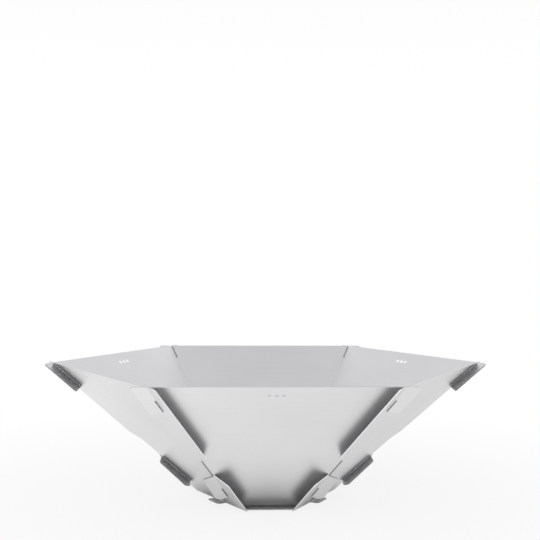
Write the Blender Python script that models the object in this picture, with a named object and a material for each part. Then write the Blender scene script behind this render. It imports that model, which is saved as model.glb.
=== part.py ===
# Flat-pack fire bowl: six flat steel sheets plugged into each other round a loose floor plate.
# Three tabbed panels and three winged panels alternate round a hexagon, wide at the rim.
# Units are metres. +Z is up, the front panel faces -Y, and the origin is under the plate's centre.

import math

import bpy
from mathutils import Vector

# Sheet and fit
SHEET = 0.0012
GAP = 0.0003

# The bowl, measured on the middle plane of the sheets
RIM_SIDE = 0.270
FLOOR_SIDE = 0.077
WALL_SLOPE = math.radians(45.0)

# Tabbed panels. Upper sizes run down the corner line from the rim, lower ones up from the floor.
UPPER_TAB_WIDTH = 0.0165
UPPER_TAB_END = 0.0465
LOWER_TAB_TOP = 0.0743
LOWER_TAB_SHOULDER = 0.0020
LOWER_TAB_TOP_WIDTH = 0.0140
LOWER_TAB_FOOT_WIDTH = 0.0165
LOWER_TAB_MOUTH = 0.0262
LOWER_TAB_TOE_DROP = 0.0030
LOWER_TAB_CHAMFER = 0.0060
TAB_CORNER_RADIUS = 0.0030

# Winged panels
UPPER_WING_WIDTH = 0.0175
UPPER_WING_TAPER = 0.0180
WING_NOTCH = 0.0292
LOWER_WING_WIDTH = 0.0220
LOWER_WING_TOP = 0.0775
LOWER_WING_SHOULDER = 0.0085
WING_CORNER_RADIUS = 0.0040

# Where the two sheets of a corner change places in their slits
UPPER_CROSSING = 0.0247
LOWER_CROSSING = 0.0460

# Row of round holes under the rim of each tabbed panel
HOLE_COUNT = 3
HOLE_RADIUS = 0.0026
HOLE_PITCH = 0.0078
HOLE_DROP = 0.0155

# Floor plate
TONGUE_WIDTH = 0.026
TONGUE_REACH = 0.0115
END_REACH = 0.0125
PLATE_CORNER_RADIUS = 0.0030

FILLET_STEPS = 8
HOLE_STEPS = 32

STEEL_COLOUR = (0.60, 0.60, 0.61, 1.0)
STEEL_ROUGHNESS = 0.30

# Worked out from the sizes above
PANELS_OF_A_KIND = 3
STEP_ANGLE = 2.0 * math.pi / PANELS_OF_A_KIND
HEXAGON_ANGLE = math.pi / 3.0
RIM_APOTHEM = RIM_SIDE * math.cos(math.pi / 6.0)
FLOOR_APOTHEM = FLOOR_SIDE * math.cos(math.pi / 6.0)
SLANT = (RIM_APOTHEM - FLOOR_APOTHEM) / math.cos(WALL_SLOPE)
FOOT_HEIGHT = SHEET / 2.0 * math.cos(WALL_SLOPE)

# Two neighbouring sheets cross at this angle, so a slit is wider than the sheet in it
CROSS_ANGLE = math.acos(
    math.sin(WALL_SLOPE) ** 2 * math.cos(HEXAGON_ANGLE) + math.cos(WALL_SLOPE) ** 2)
SLIT_HALF = (SHEET / math.sin(CROSS_ANGLE) + SHEET / math.tan(CROSS_ANGLE)) / 2.0 + (
    GAP / math.sin(CROSS_ANGLE))

RIM_CORNER = Vector((RIM_SIDE / 2.0, SLANT))
FLOOR_CORNER = Vector((FLOOR_SIDE / 2.0, 0.0))
CORNER_LENGTH = (FLOOR_CORNER - RIM_CORNER).length
DOWN_CORNER = (FLOOR_CORNER - RIM_CORNER).normalized()
OUT_OF_CORNER = Vector((-DOWN_CORNER.y, DOWN_CORNER.x))


def clear_scene():
    for item in list(bpy.data.objects):
        bpy.data.objects.remove(item, do_unlink=True)


def make_collection(name):
    collection = bpy.data.collections.new(name)
    bpy.context.scene.collection.children.link(collection)
    return collection


def steel(name):
    material = bpy.data.materials.new(name)
    material.use_nodes = True
    shader = material.node_tree.nodes["Principled BSDF"]
    shader.inputs["Base Color"].default_value = STEEL_COLOUR
    shader.inputs["Roughness"].default_value = STEEL_ROUGHNESS
    shader.inputs["Metallic"].default_value = 1.0
    return material


def at(down, out):
    """Point of a panel: down the right corner line from the rim, and out of that line."""
    return RIM_CORNER + DOWN_CORNER * down + OUT_OF_CORNER * out


def below(rise, out):
    """The same, with the distance counted up from the floor's end of the line."""
    return at(CORNER_LENGTH - rise, out)


def at_height(height, out):
    """Point at one height of the panel, out of the corner line by a distance."""
    start = at(0.0, out)
    return start + DOWN_CORNER * ((height - start.y) / DOWN_CORNER.y)


def rounded(points):
    """Outline with each (point, radius) corner turned into an arc of that radius."""
    outline = []
    for index, (corner, radius) in enumerate(points):
        before = (points[index - 1][0] - corner).normalized()
        after = (points[(index + 1) % len(points)][0] - corner).normalized()
        if radius == 0.0:
            outline.append(corner)
            continue
        half = before.angle(after) / 2.0
        centre = corner + (before + after).normalized() * (radius / math.sin(half))
        first = corner + before * (radius / math.tan(half)) - centre
        last = corner + after * (radius / math.tan(half)) - centre
        turn = first.angle_signed(last)
        for step in range(FILLET_STEPS + 1):
            angle = -turn * step / FILLET_STEPS
            outline.append(centre + Vector((
                first.x * math.cos(angle) - first.y * math.sin(angle),
                first.x * math.sin(angle) + first.y * math.cos(angle))))
    return outline


def mirrored(points):
    """Right half of an outline, from top to bottom, closed by its mirror image."""
    left = [(Vector((-point.x, point.y)), radius) for point, radius in reversed(points)]
    return points + left


def circle(centre, radius):
    return [centre + Vector((radius * math.cos(angle), radius * math.sin(angle)))
            for angle in (2.0 * math.pi * step / HOLE_STEPS for step in range(HOLE_STEPS))]


def cut_sheet(name, outlines, collection):
    """Flat sheet with square-cut edges, its middle plane on the object's own XY plane."""
    curve = bpy.data.curves.new(name, "CURVE")
    curve.dimensions = "2D"
    curve.fill_mode = "BOTH"
    curve.extrude = SHEET / 2.0
    for outline in outlines:
        spline = curve.splines.new("POLY")
        spline.points.add(len(outline) - 1)
        for point, place in zip(spline.points, outline):
            point.co = (place.x, place.y, 0.0, 1.0)
        spline.use_cyclic_u = True
    sheet = bpy.data.objects.new(name, curve)
    sheet.data.materials.append(steel(name + "_steel"))
    collection.objects.link(sheet)
    return sheet


def tabbed_outlines():
    """Panel with a hooked tab at the top and bottom of each slanted side."""
    floor_edge = (SHEET + GAP) / math.sin(WALL_SLOPE)
    toe = LOWER_TAB_MOUTH - LOWER_TAB_TOE_DROP
    corner = TAB_CORNER_RADIUS
    right = [
        (at_height(SLANT, UPPER_TAB_WIDTH), corner),
        (at(UPPER_TAB_END, UPPER_TAB_WIDTH), corner),
        (at(UPPER_TAB_END, SLIT_HALF), 0.0),
        (at(UPPER_CROSSING, SLIT_HALF), 0.0),
        (at(UPPER_CROSSING, -SLIT_HALF), 0.0),
        (below(LOWER_TAB_TOP, -SLIT_HALF), 0.0),
        (below(LOWER_TAB_TOP - LOWER_TAB_SHOULDER, LOWER_TAB_TOP_WIDTH), corner),
        (below(toe + LOWER_TAB_CHAMFER, LOWER_TAB_FOOT_WIDTH), corner),
        (below(toe, LOWER_TAB_FOOT_WIDTH - LOWER_TAB_CHAMFER), corner),
        (below(LOWER_TAB_MOUTH, SLIT_HALF), 0.0),
        (below(LOWER_CROSSING, SLIT_HALF), 0.0),
        (below(LOWER_CROSSING, -SLIT_HALF), 0.0),
        (at_height(floor_edge, -SLIT_HALF), 0.0),
    ]
    row_start = -HOLE_PITCH * (HOLE_COUNT - 1) / 2.0
    holes = [circle(Vector((row_start + HOLE_PITCH * index, SLANT - HOLE_DROP)), HOLE_RADIUS)
             for index in range(HOLE_COUNT)]
    return [rounded(mirrored(right))] + holes


def winged_outlines():
    """Panel with an upper and a lower wing on each side, and a notch over the plate's tongue."""
    corner = WING_CORNER_RADIUS
    wing_end = LOWER_WING_TOP + WING_NOTCH
    notch_half = TONGUE_WIDTH / 2.0 + GAP
    notch_top = (SHEET + GAP) / math.sin(WALL_SLOPE)
    right = [
        (at_height(SLANT, UPPER_WING_WIDTH), corner),
        (below(wing_end + UPPER_WING_TAPER, UPPER_WING_WIDTH), corner),
        (below(wing_end, -SLIT_HALF), 0.0),
        (below(LOWER_CROSSING - GAP, -SLIT_HALF), 0.0),
        (below(LOWER_CROSSING - GAP, SLIT_HALF), 0.0),
        (below(LOWER_WING_TOP, SLIT_HALF), 0.0),
        (below(LOWER_WING_TOP - LOWER_WING_SHOULDER, LOWER_WING_WIDTH), corner),
        (at_height(0.0, LOWER_WING_WIDTH), 0.0),
        (Vector((notch_half, 0.0)), 0.0),
        (Vector((notch_half, notch_top)), 0.0),
    ]
    slit = [
        (at_height(SLANT, -SLIT_HALF), 0.0),
        (at(UPPER_CROSSING + GAP, -SLIT_HALF), 0.0),
        (at(UPPER_CROSSING + GAP, SLIT_HALF), 0.0),
        (at_height(SLANT, SLIT_HALF), 0.0),
    ]
    return [rounded(mirrored(slit + right))]


def turned(point, angle):
    return Vector((point.x * math.cos(angle) - point.y * math.sin(angle),
                   point.x * math.sin(angle) + point.y * math.cos(angle)))


def plate_outline():
    """Floor plate: wide ends under the tabbed panels, tongues under the winged ones."""
    foot_radius = FLOOR_APOTHEM + SHEET / 2.0 * math.sin(WALL_SLOPE)
    side_radius = foot_radius - SHEET * math.sin(WALL_SLOPE) - GAP
    end_radius = foot_radius + END_REACH
    tongue_radius = foot_radius + TONGUE_REACH
    end_half = (side_radius - end_radius * math.cos(HEXAGON_ANGLE)) / math.sin(HEXAGON_ANGLE)
    corner = PLATE_CORNER_RADIUS
    points = []
    for index in range(PANELS_OF_A_KIND):
        end_turn = index * STEP_ANGLE
        tongue_turn = end_turn + HEXAGON_ANGLE
        points += [
            (turned(Vector((-end_half, -end_radius)), end_turn), corner),
            (turned(Vector((end_half, -end_radius)), end_turn), corner),
            (turned(Vector((-TONGUE_WIDTH / 2.0, -side_radius)), tongue_turn), 0.0),
            (turned(Vector((-TONGUE_WIDTH / 2.0, -tongue_radius)), tongue_turn), corner),
            (turned(Vector((TONGUE_WIDTH / 2.0, -tongue_radius)), tongue_turn), corner),
            (turned(Vector((TONGUE_WIDTH / 2.0, -side_radius)), tongue_turn), 0.0),
        ]
    return rounded(points)


def stand_up(sheet, turn, collection):
    """Lean a sheet out from the floor at the wall's slope, facing -Y before its turn about Z."""
    axis = bpy.data.objects.new(sheet.name + "_axis", None)
    axis.rotation_euler = (0.0, 0.0, turn)
    collection.objects.link(axis)
    sheet.parent = axis
    sheet.location = (0.0, -FLOOR_APOTHEM, FOOT_HEIGHT)
    sheet.rotation_euler = (math.pi - WALL_SLOPE, 0.0, 0.0)


def build():
    clear_scene()
    collection = make_collection("fire_pit")
    for index, name in enumerate(("front_panel", "rear_right_panel", "rear_left_panel")):
        stand_up(cut_sheet(name, tabbed_outlines(), collection), index * STEP_ANGLE, collection)
    for index, name in enumerate(("right_panel", "rear_panel", "left_panel")):
        turn = HEXAGON_ANGLE + index * STEP_ANGLE
        stand_up(cut_sheet(name, winged_outlines(), collection), turn, collection)
    plate = cut_sheet("base_plate", [plate_outline()], collection)
    plate.location = (0.0, 0.0, SHEET / 2.0)
    bpy.context.view_layer.update()


build()
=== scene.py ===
import math

import bpy
from mathutils import Euler, Matrix, Vector
from mathutils.geometry import intersect_point_line


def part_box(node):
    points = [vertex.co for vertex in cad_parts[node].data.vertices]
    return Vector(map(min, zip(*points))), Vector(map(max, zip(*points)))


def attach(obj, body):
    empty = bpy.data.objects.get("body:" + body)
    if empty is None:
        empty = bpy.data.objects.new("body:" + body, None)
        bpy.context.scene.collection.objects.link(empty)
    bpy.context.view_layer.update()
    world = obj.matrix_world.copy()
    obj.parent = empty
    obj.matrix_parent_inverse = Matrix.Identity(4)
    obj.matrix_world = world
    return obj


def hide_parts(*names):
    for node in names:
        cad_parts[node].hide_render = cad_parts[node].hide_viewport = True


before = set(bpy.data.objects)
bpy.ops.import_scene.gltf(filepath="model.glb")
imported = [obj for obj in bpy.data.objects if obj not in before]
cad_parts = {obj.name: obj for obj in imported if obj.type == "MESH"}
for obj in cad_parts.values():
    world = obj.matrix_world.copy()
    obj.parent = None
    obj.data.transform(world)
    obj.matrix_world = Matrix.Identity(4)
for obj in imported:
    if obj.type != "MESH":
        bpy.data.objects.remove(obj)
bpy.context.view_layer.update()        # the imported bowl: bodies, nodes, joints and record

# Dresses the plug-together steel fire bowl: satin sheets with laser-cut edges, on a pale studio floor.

scene = bpy.context.scene
scene.view_settings.view_transform = "Standard"
mm = 0.001


# Small helpers for modelling by hand

def pick(piece):
    bpy.ops.object.select_all(action="DESELECT")
    piece.select_set(True)
    bpy.context.view_layer.objects.active = piece


def editAll(piece):
    pick(piece)
    bpy.ops.object.mode_set(mode="EDIT")
    bpy.ops.mesh.select_mode(type="FACE")
    bpy.ops.mesh.select_all(action="SELECT")


def leaveEdit():
    bpy.ops.object.mode_set(mode="OBJECT")


# Small helpers for node trees, where a source is a node and the name or number of its output

def addNode(tree, kind, place, **values):
    node = tree.nodes.new(kind)
    node.location = place
    for name, value in values.items():
        setattr(node, name, value)
    return node


def fill(node, values):
    for label, value in values.items():
        node.inputs[label].default_value = value


def wire(tree, node, output, target, entry):
    tree.links.new(node.outputs[output], target.inputs[entry])


# Each term is a source or a plain number
def addMath(tree, place, operation, *terms):
    node = addNode(tree, "ShaderNodeMath", place, operation=operation)
    for entry, term in enumerate(terms):
        if isinstance(term, tuple):
            wire(tree, *term, node, entry)
        else:
            node.inputs[entry].default_value = term
    return node


# Turns one span of values into another, by a soft step or in a straight line
def addSpan(tree, place, source, given, wanted, step="SMOOTHSTEP"):
    node = addNode(tree, "ShaderNodeMapRange", place, interpolation_type=step)
    fill(node, {"From Min": given[0], "From Max": given[1], "To Min": wanted[0], "To Max": wanted[1]})
    wire(tree, *source, node, "Value")
    return node


def addNoise(tree, place, source, values):
    node = addNode(tree, "ShaderNodeTexNoise", place)
    fill(node, values)
    wire(tree, *source, node, "Vector")
    return node


def addBump(tree, place, source, strength, depth):
    bump = addNode(tree, "ShaderNodeBump", place)
    fill(bump, {"Strength": strength, "Distance": depth})
    wire(tree, *source, bump, "Height")
    wire(tree, bump, "Normal", tree.nodes["Principled BSDF"], "Normal")


def newGroup(name, entries, exits):
    group = bpy.data.node_groups.new(name, "ShaderNodeTree")
    for label, kind, value in entries:
        socket = group.interface.new_socket(label, in_out="INPUT", socket_type=kind)
        if value is not None:
            socket.default_value = value
    for label in exits:
        group.interface.new_socket(label, in_out="OUTPUT", socket_type="NodeSocketFloat")
    given = addNode(group, "NodeGroupInput", (-900, 0))
    result = addNode(group, "NodeGroupOutput", (700, 0))
    return group, given, result


def newSteel(name):
    look = bpy.data.materials.new(name)
    look.use_nodes = True
    shader = look.node_tree.nodes["Principled BSDF"]
    fill(shader, {"Metallic": 1.0})
    return look, look.node_tree, shader


# Satin grain: fine rolled lines along the sheet, and broad soft clouds

grainLook = {
    "linesAcross": 2600.0,      # per metre, across the grain
    "linesAlong": 14.0,         # per metre, along the grain
    "lines": {"Scale": 1.0, "Detail": 3.0, "Roughness": 0.62},
    "clouds": {"Scale": 9.0, "Detail": 4.0, "Roughness": 0.5},
    "specks": {"Scale": 900.0, "Detail": 2.0, "Roughness": 0.5},
    "toneSpan": (0.36, 0.64),   # noise between these makes the whole step from dark to light
}


def buildGrain():
    group, given, result = newGroup(
        "satinGrain",
        [("Place", "NodeSocketVector", None), ("Streaks", "NodeSocketFloat", 0.5),
         ("Specks", "NodeSocketFloat", 0.25)],
        ["Lines", "Tone", "Height"])
    stretch = addNode(group, "ShaderNodeMapping", (-650, 200))
    along, across = grainLook["linesAlong"], grainLook["linesAcross"]
    fill(stretch, {"Scale": (along, across, across)})
    wire(group, given, "Place", stretch, "Vector")
    lines = addNoise(group, (-420, 200), (stretch, "Vector"), grainLook["lines"])
    clouds = addNoise(group, (-420, -150), (given, "Place"), grainLook["clouds"])
    specks = addNoise(group, (-420, -450), (given, "Place"), grainLook["specks"])
    height = addMath(
        group, (-150, 100), "MULTIPLY_ADD", (specks, "Fac"), (given, "Specks"), (lines, "Fac"))
    both = addNode(group, "ShaderNodeMix", (-150, -250))
    wire(group, given, "Streaks", both, "Factor")
    wire(group, clouds, "Fac", both, "A")
    wire(group, lines, "Fac", both, "B")
    tone = addSpan(group, (100, -250), (both, "Result"), grainLook["toneSpan"], (0, 1), "LINEAR")
    wire(group, lines, "Fac", result, "Lines")
    wire(group, tone, "Result", result, "Tone")
    wire(group, height, 0, result, "Height")
    return group


grainGroup = buildGrain()
print("grain group ready")


# Satin stainless sheet, its grain turned to run across the panel it is cut for

satinLook = {
    "light": (0.876, 0.874, 0.882, 1.0),
    "dark": (0.820, 0.818, 0.827, 1.0),
    "streaks": 0.5,                     # 0 gives clouds alone, 1 gives rolled lines alone
    "specks": 0.25,                     # share of fine specks in the height of the grain
    "panelRoughness": (0.38, 0.46),     # in the hollows of the grain, and on its ridges
    "plateRoughness": (0.34, 0.42),
    "bumpStrength": 0.35,
    "bumpDepth": 0.010 * mm,
}


def satinSteel(name, swing, lean, roughness):
    look, tree, shader = newSteel(name)
    place = addNode(tree, "ShaderNodeTexCoord", (-1300, 0))
    turned = addNode(tree, "ShaderNodeMapping", (-1100, 0), vector_type="TEXTURE")
    fill(turned, {"Rotation": (lean, 0.0, swing)})
    wire(tree, place, "Object", turned, "Vector")
    grain = addNode(tree, "ShaderNodeGroup", (-850, 0), node_tree=grainGroup)
    fill(grain, {"Streaks": satinLook["streaks"], "Specks": satinLook["specks"]})
    wire(tree, turned, "Vector", grain, "Place")
    tone = addNode(tree, "ShaderNodeMix", (-500, 200), data_type="RGBA")
    fill(tone, {"A": satinLook["dark"], "B": satinLook["light"]})
    wire(tree, grain, "Tone", tone, "Factor")
    wire(tree, tone, "Result", shader, "Base Color")
    rough = addSpan(tree, (-500, -100), (grain, "Lines"), (0, 1), roughness, "LINEAR")
    wire(tree, rough, "Result", shader, "Roughness")
    addBump(tree, (-250, -350), (grain, "Height"), satinLook["bumpStrength"], satinLook["bumpDepth"])
    return look


# Laser-cut edge faces: a tone for each kind, lighter or darker as painted highlight and painted shade, with
# close ridges through the sheet's thickness

cutLook = {
    "ridges": 2200.0,           # per metre
    "ridgeNoise": {"Detail": 2.0, "Roughness": 0.5},
    "ridgeStrength": 0.4,
    "ridgeDepth": 0.03 * mm,
}
edgeKinds = {
    "outer": {"Base Color": (0.98, 0.98, 0.985, 1.0), "Roughness": 0.50},   # bright along the outline, brighter than the sheet: a painted highlight
    "tab": {"Base Color": (0.27, 0.265, 0.265, 1.0), "Roughness": 0.60},    # dark round the tabs: painted shade
    "rim": {"Base Color": (0.80, 0.79, 0.79, 1.0), "Roughness": 0.50},      # a little darker on the top edge: painted shade that tones down its highlight
    "slit": {"Base Color": (0.36, 0.355, 0.35, 1.0), "Roughness": 0.65},    # dark in the slits: painted shade in the narrow gaps
    "foot": {"Base Color": (0.46, 0.455, 0.46, 1.0), "Roughness": 0.60},    # dull and dark where the bowl stands: painted contact shadow
    "seatShadow": {"Base Color": (0.22, 0.215, 0.21, 1.0), "Roughness": 0.70},    # dark under the tabbed panels: painted contact shadow
}


def buildRidges():
    group, given, result = newGroup(
        "cutRidges",
        [("Place", "NodeSocketVector", None), ("Fineness", "NodeSocketFloat", 1000.0)],
        ["Height"])
    ridges = addNoise(group, (-420, 0), (given, "Place"), cutLook["ridgeNoise"])
    wire(group, given, "Fineness", ridges, "Scale")
    wire(group, ridges, "Fac", result, "Height")
    return group


ridgeGroup = buildRidges()


def cutSteel(kind):
    look, tree, shader = newSteel(kind + "EdgeSteel")
    fill(shader, edgeKinds[kind])
    place = addNode(tree, "ShaderNodeTexCoord", (-900, 0))
    ridges = addNode(tree, "ShaderNodeGroup", (-650, 0), node_tree=ridgeGroup)
    fill(ridges, {"Fineness": cutLook["ridges"]})
    wire(tree, place, "Object", ridges, "Place")
    addBump(tree, (-300, -200), (ridges, "Height"), cutLook["ridgeStrength"], cutLook["ridgeDepth"])
    return look


edgeSteels = [cutSteel(kind) for kind in edgeKinds]
print("steel materials ready")


# Sheets: each keeps the outline of its solid, and gets an eased edge all round

sheetShape = {
    "mergeWithin": 0.004 * mm,
    "flatWithin": math.radians(0.6),
    "easedEdge": 0.14 * mm,
    "easedSteps": 2,
    "easedOver": math.radians(50),      # corners sharper than this are eased
    "smoothUnder": math.radians(35),
    "broadFace": 0.999,         # a face that looks this nearly the sheet's own way is satin, not cut
    "slitWithin": 2.5 * mm,     # cut faces this close to a corner line are slit walls
    "footBelow": 4.0 * mm,      # cut faces lower than this belong to the foot
    "rimWithin": 1.5 * mm,      # cut faces this close to the sheet's top are its rim
    "seatBand": (66.0 * mm, 70.2 * mm),     # from the plate's middle, under the tabbed panels
    "slitDrawnIn": 0.22 * mm,   # each slit wall stands this much closer to the sheet it holds
    "squareWithin": 0.1,        # and looks this nearly square to the sheet and to the slit's run
}

# The bowl's hexagon, on the middle of the sheets; its corners lie as far out as its sides are long
bowl = {
    "rimSide": 270 * mm,
    "floorSide": 77 * mm,
    "footHeight": 0.4 * mm,
    "wallSlope": math.radians(45),
    "cornerTurn": 30,           # degrees from a panel's middle to its corners
}
# Each sheet's body and material slot, and its turn round the bowl in degrees from the front
panels = {
    "front_panel": {"body": "front", "slot": "tabbed_panel_steel", "turn": 0},
    "rear_right_panel": {"body": "rear_right", "slot": "tabbed_panel_steel", "turn": 120},
    "rear_left_panel": {"body": "rear_left", "slot": "tabbed_panel_steel", "turn": 240},
    "right_panel": {"body": "right", "slot": "winged_panel_steel", "turn": 60},
    "rear_panel": {"body": "rear", "slot": "winged_panel_steel", "turn": 180},
    "left_panel": {"body": "left", "slot": "winged_panel_steel", "turn": 300},
    "base_plate": {"body": "floor", "slot": "plate_steel", "turn": None},
}
tabbedTurns = [facts["turn"] for facts in panels.values() if facts["slot"] == "tabbed_panel_steel"]


def outward(turn):
    way = math.radians(turn)
    return Vector((math.sin(way), -math.cos(way), 0))


# The way a sheet faces, and the swing and lean that turn its grain
def sheetLie(turn):
    if turn is None:
        return Vector((0, 0, 1)), 0.0, 0.0
    swing = math.radians(turn)
    lean = math.pi - bowl["wallSlope"]
    return Euler((lean, 0, swing)).to_matrix() @ Vector((0, 0, 1)), swing, lean


# A corner line runs from the floor's corner to the rim's corner, where two sheets cross
def cornerLines(turn):
    if turn is None:
        return []
    inset = (bowl["rimSide"] - bowl["floorSide"]) * math.cos(math.radians(bowl["cornerTurn"]))
    footHeight = bowl["footHeight"]
    rimHeight = footHeight + inset * math.tan(bowl["wallSlope"])
    lines = []
    for side in (-bowl["cornerTurn"], bowl["cornerTurn"]):
        out = outward(turn + side)
        foot = out * bowl["floorSide"] + Vector((0, 0, footHeight))
        lines.append((foot, out * bowl["rimSide"] + Vector((0, 0, rimHeight))))
    return lines


def nearLine(place, line):
    return (place - intersect_point_line(place, *line)[0]).length < sheetShape["slitWithin"]


# Whether a place on the floor plate lies where a tabbed panel stands
def onSeat(place):
    near, far = sheetShape["seatBand"]
    return near < max(place.dot(outward(turn)) for turn in tabbedTurns) < far


# A tab is what sticks out past a tabbed panel's two corner lines
def onTab(place, turn):
    past = math.radians(bowl["cornerTurn"])
    return turn in tabbedTurns and place.xy.angle(outward(turn).xy) > past


# Cuts the plate's faces at both edges of each band that a tabbed panel stands on
def markSeats(piece):
    for turn in tabbedTurns:
        out = outward(turn)
        for reach in sheetShape["seatBand"]:
            editAll(piece)
            bpy.ops.mesh.bisect(plane_co=out * reach, plane_no=out)
            leaveEdit()


# The springy steel closes its slits on the sheets in them
def drawInSlits(piece, normal, lines):
    square = sheetShape["squareWithin"]
    rim = max(corner.co.z for corner in piece.data.vertices)
    for foot, top in lines:
        along = (top - foot).normalized()
        for face in piece.data.polygons:
            wall = abs(face.normal.dot(normal)) < square and abs(face.normal.dot(along)) < square
            if wall and nearLine(face.center, (foot, top)):
                for index in face.vertices:
                    corner = piece.data.vertices[index]
                    corner.co += face.normal * sheetShape["slitDrawnIn"]
                    corner.co.z = min(corner.co.z, rim)


def easeEdges(piece):
    ease = piece.modifiers.new("easedEdge", "BEVEL")
    ease.width = sheetShape["easedEdge"]
    ease.segments = sheetShape["easedSteps"]
    ease.limit_method = "ANGLE"
    ease.angle_limit = sheetShape["easedOver"]
    ease.miter_outer = "MITER_ARC"
    pick(piece)
    bpy.ops.object.modifier_apply(modifier="easedEdge")
    bpy.ops.object.shade_smooth_by_angle(angle=sheetShape["smoothUnder"])


def cutKind(place, turn, lines, rimFrom):
    if any(nearLine(place, line) for line in lines):
        return "slit"
    if place.z < sheetShape["footBelow"]:
        return "foot"
    if place.z > rimFrom:
        return "rim"
    return "tab" if onTab(place, turn) else "outer"


def dressSheet(nodeName):
    facts = panels[nodeName]
    turn = facts["turn"]
    isPlate = turn is None
    normal, swing, lean = sheetLie(turn)
    lines = cornerLines(turn)
    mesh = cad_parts[nodeName].data.copy()
    mesh.name = nodeName + "_sheet"
    piece = bpy.data.objects.new(nodeName + "_sheet", mesh)
    scene.collection.objects.link(piece)
    roughness = satinLook["plateRoughness" if isPlate else "panelRoughness"]
    mesh.materials.clear()
    for look in [satinSteel(nodeName + "_satin", swing, lean, roughness)] + edgeSteels:
        mesh.materials.append(look)

    editAll(piece)
    bpy.ops.mesh.remove_doubles(threshold=sheetShape["mergeWithin"])
    bpy.ops.mesh.dissolve_limited(angle_limit=sheetShape["flatWithin"])
    leaveEdit()
    if isPlate:
        markSeats(piece)
    drawInSlits(piece, normal, lines)
    easeEdges(piece)

    slots = ["satin"] + list(edgeKinds)
    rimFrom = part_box(nodeName)[1][2] - sheetShape["rimWithin"]
    for face in mesh.polygons:
        broad = abs(face.normal.dot(normal)) > sheetShape["broadFace"]
        if broad:
            # the plate's band under the tabbed panels gets painted contact shadow
            kind = "seatShadow" if isPlate and onSeat(face.center) else "satin"
        else:
            kind = cutKind(face.center, turn, lines, rimFrom)
        face.material_index = slots.index(kind)
        face.use_smooth = not broad        # a flat face's own normal, right up to the eased edge

    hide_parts(nodeName)
    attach(piece, facts["body"])
    return piece


for nodeName in panels:
    sheet = dressSheet(nodeName)
    print("dressed", nodeName, len(sheet.data.polygons), "faces")


# Between sheets that face each other, light comes back duller at each reflection: painted shade, with the
# floor and room drawn duller past the clear bounces

gloom = {
    "clearBounces": 2,          # past this many reflections the steel sees floor and room dull
    "floorKeeps": 0.25,         # share of its paleness that the floor keeps at each one more
    "roomKeeps": 0.55,
}


def addGloom(tree, path, place, keeps):
    x, y = place
    past = addMath(tree, place, "SUBTRACT", (path, "Glossy Depth"), gloom["clearBounces"])
    least = addMath(tree, (x + 170, y), "MAXIMUM", (past, 0), 0.0)
    return addMath(tree, (x + 340, y), "POWER", keeps, (least, 0))


# Floor: one pale plane that runs out into the white room, and keeps the bowl's shadow

floorLook = {
    "size": 30.0,
    "color": (0.95, 0.95, 0.95, 1.0),
    "shadowShare": 0.22,            # how much of the real shading the camera sees near the bowl
    "shadowFade": (0.08, 0.80),     # it fades out between these distances from the bowl's middle
    "steelSees": [      # distance from the bowl's middle, and how pale the steel sees the floor there: painted shadow, darker towards the foot
        (0.060, 0.12), (0.076, 0.30), (0.090, 0.54), (0.106, 0.82),
        (0.140, 0.96), (0.300, 1.00)],
    "sides": (-0.35, 0.35),         # between these, from left to right, it falls to this share: painted shade on the right
    "rightSide": 0.86,
    "behindFrom": (-0.06, 0.02),    # between these, from front to back, it falls to this share: painted shadow behind the bowl
    "behind": 0.93,
    "behindTo": (0.24, 0.36),       # and it is back in full between these distances from the middle
    "poolAt": (0.100, -0.095, 0.0),     # a pool of painted shadow by each front corner, under the lower wings
    "poolShade": 0.80,
    "poolFade": (0.02, 0.06),
}


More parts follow.
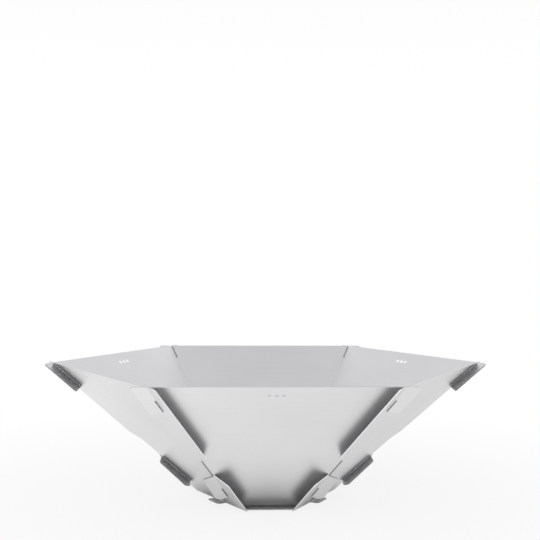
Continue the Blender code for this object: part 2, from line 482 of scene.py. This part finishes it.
def layFloor():
    bpy.ops.mesh.primitive_plane_add(size=floorLook["size"], location=(0, 0, 0))
    floor = bpy.context.active_object
    floor.name = "studio_floor"
    look = bpy.data.materials.new("floorLook")
    look.use_nodes = True
    tree = look.node_tree
    tree.nodes.remove(tree.nodes["Principled BSDF"])
    path = addNode(tree, "ShaderNodeLightPath", (-1500, 500))
    place = addNode(tree, "ShaderNodeTexCoord", (-1700, 0))
    reach = addNode(tree, "ShaderNodeVectorMath", (-1500, 0), operation="LENGTH")
    wire(tree, place, "Object", reach, 0)
    split = addNode(tree, "ShaderNodeSeparateXYZ", (-1500, -350))
    wire(tree, place, "Object", split, "Vector")

    # the camera sees the real shading near the bowl, and plain white far out
    unshaded = 1 - floorLook["shadowShare"]
    fade = addSpan(tree, (-1200, 250), (reach, "Value"), floorLook["shadowFade"], (unshaded, 1))
    seen = addMath(tree, (-900, 300), "MULTIPLY", (path, "Is Camera Ray"), (fade, "Result"))
    mirrored = addMath(tree, (-900, 600), "MAXIMUM", (path, "Is Glossy Ray"), (path, "Is Transmission Ray"))
    share = addMath(tree, (-600, 300), "MAXIMUM", (seen, 0), (mirrored, 0))

    # the steel sees it pale, with painted shade: darker towards the foot, to the right and close behind the
    # front edge
    tones = addNode(tree, "ShaderNodeValToRGB", (-1250, -50))
    tones.color_ramp.interpolation = "EASE"
    stops = tones.color_ramp.elements
    for index, (radius, pale) in enumerate(floorLook["steelSees"]):
        stop = stops[index] if index < 2 else stops.new(radius)     # a new ramp has two
        stop.position = radius
        stop.color = (pale, pale, pale, 1)
    wire(tree, reach, "Value", tones, "Fac")
    across = addSpan(tree, (-1250, -350), (split, "X"), floorLook["sides"], (1, floorLook["rightSide"]))
    sided = addMath(tree, (-950, -200), "MULTIPLY", (tones, "Color"), (across, "Result"))
    back = addSpan(tree, (-1250, -650), (split, "Y"), floorLook["behindFrom"], (1, floorLook["behind"]))
    clear = addSpan(tree, (-1250, -950), (reach, "Value"), floorLook["behindTo"], (floorLook["behind"], 1))
    shaded = addMath(tree, (-950, -700), "MAXIMUM", (back, "Result"), (clear, "Result"))
    shadow = addMath(tree, (-800, -400), "MULTIPLY", (sided, 0), (shaded, 0))

    # painted shade makes it darker in the two pools, and between sheets that face each other
    aside = addMath(tree, (-1500, -1200), "ABSOLUTE", (split, "X"))
    folded = addNode(tree, "ShaderNodeCombineXYZ", (-1350, -1200))
    wire(tree, aside, 0, folded, "X")
    wire(tree, split, "Y", folded, "Y")
    off = addNode(tree, "ShaderNodeVectorMath", (-1200, -1200), operation="DISTANCE")
    fill(off, {1: floorLook["poolAt"]})
    wire(tree, folded, "Vector", off, 0)
    pool = addSpan(tree, (-1000, -1200), (off, "Value"), floorLook["poolFade"], (floorLook["poolShade"], 1))
    pooled = addMath(tree, (-750, -800), "MULTIPLY", (shadow, 0), (pool, "Result"))
    deep = addGloom(tree, path, (-1250, 800), gloom["floorKeeps"])
    pale = addMath(tree, (-700, -100), "MULTIPLY", (pooled, 0), (deep, 0))
    plain = addMath(tree, (-450, 0), "MAXIMUM", (pale, 0), (path, "Is Camera Ray"))

    matte = addNode(tree, "ShaderNodeBsdfDiffuse", (-200, 500))
    fill(matte, {"Color": floorLook["color"]})
    white = addNode(tree, "ShaderNodeEmission", (-200, 200))
    wire(tree, plain, 0, white, "Strength")
    mixed = addNode(tree, "ShaderNodeMixShader", (100, 400))
    wire(tree, share, 0, mixed, 0)
    wire(tree, matte, 0, mixed, 1)
    wire(tree, white, 0, mixed, 2)
    wire(tree, mixed, 0, tree.nodes["Material Output"], "Surface")
    floor.data.materials.append(look)


layFloor()
print("floor laid")


# Light: a white room, dimmer overhead, with two soft lamps that only add some shape

roomLook = {
    "level": (1.0, 1.0, 1.0, 1.0),
    "overhead": (0.62, 0.62, 0.63, 1.0),
    "dimBetween": (0.15, 0.95),     # heights on a unit sphere
    "lampsAim": (0, 0, 0.08),
}
lamps = {
    "keyLamp": {"at": (-1.1, -1.0, 1.6), "size": 2.4, "power": 3.0},
    "fillLamp": {"at": (1.4, -0.6, 1.2), "size": 2.0, "power": 1.2},
}


def lightRoom():
    world = bpy.data.worlds.new("paleRoom")
    scene.world = world
    world.use_nodes = True
    tree = world.node_tree
    back = tree.nodes["Background"]
    way = addNode(tree, "ShaderNodeTexCoord", (-1000, 0))
    split = addNode(tree, "ShaderNodeSeparateXYZ", (-800, 0))
    wire(tree, way, "Generated", split, "Vector")
    height = addSpan(tree, (-600, 0), (split, "Z"), roomLook["dimBetween"], (0, 1))
    tone = addNode(tree, "ShaderNodeMix", (-300, 0), data_type="RGBA")
    fill(tone, {"A": roomLook["level"], "B": roomLook["overhead"]})
    wire(tree, height, "Result", tone, "Factor")
    wire(tree, tone, "Result", back, "Color")
    path = addNode(tree, "ShaderNodeLightPath", (-800, -300))
    # past the clear bounces the room is drawn duller: painted shade between the sheets
    deep = addGloom(tree, path, (-600, -300), gloom["roomKeeps"])
    wire(tree, deep, 0, back, "Strength")


def hangLamps():
    for name, facts in lamps.items():
        data = bpy.data.lights.new(name, "AREA")
        data.shape = "DISK"
        data.size = facts["size"]
        data.energy = facts["power"]
        lamp = bpy.data.objects.new(name, data)
        lamp.location = facts["at"]
        aim = Vector(roomLook["lampsAim"]) - lamp.location
        lamp.rotation_euler = aim.to_track_quat("-Z", "Y").to_euler()
        scene.collection.objects.link(lamp)


lightRoom()
hangLamps()
print("room lit")


# Camera: stands where the photograph was taken from

cameraFacts = {
    "at": (-0.05542, -1.22099, 0.29942),
    "swing": 0.04772,           # to the right of +Y
    "dip": 0.01158,             # below level
    "roll": 0.00505,
    "lens": 64.07,
    "sensor": 36.0,
    "nearest": 0.05,
}


def placeCamera():
    data = bpy.data.cameras.new("photoCamera")
    data.lens = cameraFacts["lens"]
    data.sensor_width = cameraFacts["sensor"]
    data.clip_start = cameraFacts["nearest"]
    camera = bpy.data.objects.new("photoCamera", data)
    aim = (Matrix.Rotation(-cameraFacts["swing"], 4, "Z")
           @ Matrix.Rotation(math.pi / 2 - cameraFacts["dip"], 4, "X")
           @ Matrix.Rotation(cameraFacts["roll"], 4, "Z"))
    camera.matrix_world = Matrix.Translation(cameraFacts["at"]) @ aim
    scene.collection.objects.link(camera)
    scene.camera = camera


placeCamera()
print("camera placed")
